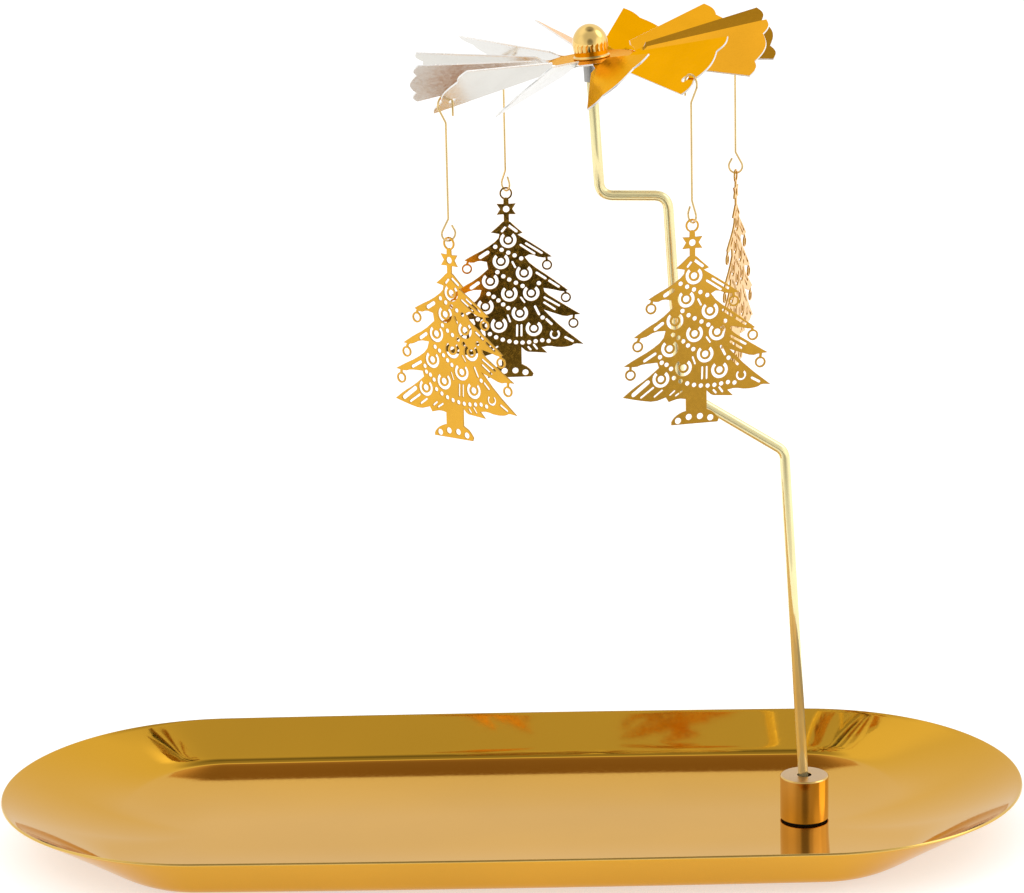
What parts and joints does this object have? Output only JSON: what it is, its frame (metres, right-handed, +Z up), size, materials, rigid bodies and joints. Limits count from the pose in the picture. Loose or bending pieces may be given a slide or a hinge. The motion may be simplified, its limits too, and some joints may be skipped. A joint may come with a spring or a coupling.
{
  "type": "candle carousel",
  "caption": "Rotary candle carousel: oval tray, magnetic foot, bent rod with a steel point, bladed wind wheel and fir-tree pendants on hooked wires.",
  "frame": {"origin": "middle of the tray's flat underside, on the surface that it stands on", "axes": "+X along the tray's long axis towards the foot, +Y across the tray away from the viewer, +Z up"},
  "size_m": [0.3, 0.1268, 0.2405],
  "materials": {
    "tray_gold": "gold-coloured plated steel sheet, satin to polished",
    "foot_gold": "gold-coloured plated steel, polished side, satin top",
    "steel": "plain steel, turned",
    "rubber": "black, matt",
    "rod_brass": "pale gold plating, polished",
    "wheel_gold": "gold-coloured plated sheet, satin, paler underside",
    "cap_brass": "gold-coloured plating, polished",
    "wire_gold": "pale gold plated wire",
    "tree_gold": "gold-coloured plated sheet, etched outline"
  },
  "bodies": {
    "tray": {"tray": "tray_gold"},
    "base": {"base_body": "foot_gold", "base_magnet": "steel", "base_pad": "rubber"},
    "rod": {"rod": "rod_brass", "pivot_tip": "steel"},
    "rotor": {"rotor_plate": "wheel_gold", "dome_cap": "cap_brass"},
    "wire_front_right": {"hook_wire_front_right": "wire_gold"},
    "tree_front_right": {"tree_front_right": "tree_gold"},
    "wire_back_right": {"hook_wire_back_right": "wire_gold"},
    "tree_back_right": {"tree_back_right": "tree_gold"},
    "wire_back_left": {"hook_wire_back_left": "wire_gold"},
    "tree_back_left": {"tree_back_left": "tree_gold"},
    "wire_front_left": {"hook_wire_front_left": "wire_gold"},
    "tree_front_left": {"tree_front_left": "tree_gold"}
  },
  "joints": [
    {"name": "base_turn", "type": "hinge", "parent": "tray", "child": "base", "pos_m": [0.0866, 0.005, 0.0009], "axis": [0, 0, 1], "continuous": true},
    {"name": "rod_lift", "type": "slide", "parent": "base", "child": "rod", "axis": [-0.0541, 0, 0.9985], "range_m": [0, 0.02]},
    {"name": "rotor_spin", "type": "hinge", "parent": "rod", "child": "rotor", "pos_m": [0.02623, 0.005, 0.23785], "axis": [0, 0, 1], "continuous": true},
    {"name": "hook_swing_front_right", "type": "hinge", "parent": "rotor", "child": "wire_front_right", "pos_m": [0.05335, -0.03638, 0.22802], "axis": [-0.7934, -0.6088, 0], "range_deg": [0, 20]},
    {"name": "tree_turn_front_right", "type": "hinge", "parent": "wire_front_right", "child": "tree_front_right", "pos_m": [0.05335, -0.03638, 0.19032], "axis": [0, 0, 1], "range_deg": [-25, 30]},
    {"name": "hook_swing_back_right", "type": "hinge", "parent": "rotor", "child": "wire_back_right", "pos_m": [0.06853, 0.03087, 0.22868], "axis": [0.6088, -0.7934, 0], "range_deg": [0, 20]},
    {"name": "tree_turn_back_right", "type": "hinge", "parent": "wire_back_right", "child": "tree_back_right", "pos_m": [0.06853, 0.03087, 0.19098], "axis": [0, 0, 1], "range_deg": [-30, 30]},
    {"name": "hook_swing_back_left", "type": "hinge", "parent": "rotor", "child": "wire_back_left", "pos_m": [0.00165, 0.04604, 0.22177], "axis": [0.7934, 0.6088, 0], "range_deg": [0, 20]},
    {"name": "tree_turn_back_left", "type": "hinge", "parent": "wire_back_left", "child": "tree_back_left", "pos_m": [0.00165, 0.04604, 0.18407], "axis": [0, 0, 1], "range_deg": [-9, 30]},
    {"name": "hook_swing_front_left", "type": "hinge", "parent": "rotor", "child": "wire_front_left", "pos_m": [-0.01353, -0.02121, 0.22112], "axis": [-0.6088, 0.7934, 0], "range_deg": [0, 20]},
    {"name": "tree_turn_front_left", "type": "hinge", "parent": "wire_front_left", "child": "tree_front_left", "pos_m": [-0.01353, -0.02121, 0.18342], "axis": [0, 0, 1], "range_deg": [-30, 8]}
  ]
}
